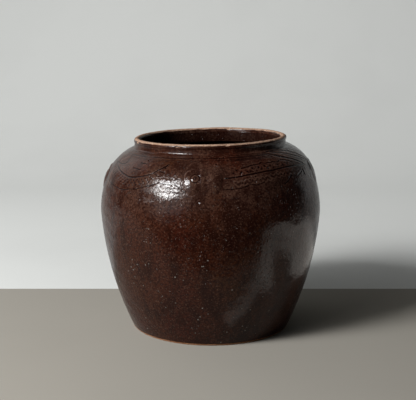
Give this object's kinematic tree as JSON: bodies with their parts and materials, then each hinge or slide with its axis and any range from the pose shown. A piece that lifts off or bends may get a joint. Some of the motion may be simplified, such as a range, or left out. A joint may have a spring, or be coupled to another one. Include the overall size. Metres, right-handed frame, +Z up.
{
  "type": "martaban jar",
  "caption": "Squat wide-mouthed stoneware storage jar with a swelling belly, a low domed shoulder with applied masks, a short neck and a rolled lip.",
  "frame": {"origin": "centre of the flat foot, on the surface the jar stands on", "axes": "+Z up the jar's axis through the mouth, -Y towards the pictured front, +X to the right of the front"},
  "size_m": [0.34, 0.34, 0.2964],
  "materials": {
    "brown_glaze": "dark reddish-brown gloss glaze, speckled, over incised ornament",
    "bare_clay": "bare fired clay, matt, worn pale on the lip"
  },
  "bodies": {
    "root": {"lower_wall": "brown_glaze", "upper_wall": "brown_glaze", "shoulder_wall": "brown_glaze", "neck_ring": "brown_glaze", "front_mask": "brown_glaze", "right_mask": "brown_glaze", "back_mask": "brown_glaze", "left_mask": "brown_glaze", "base_slab": "bare_clay", "corner_coil": "bare_clay", "lip_coil": "bare_clay"}
  },
  "joints": []
}
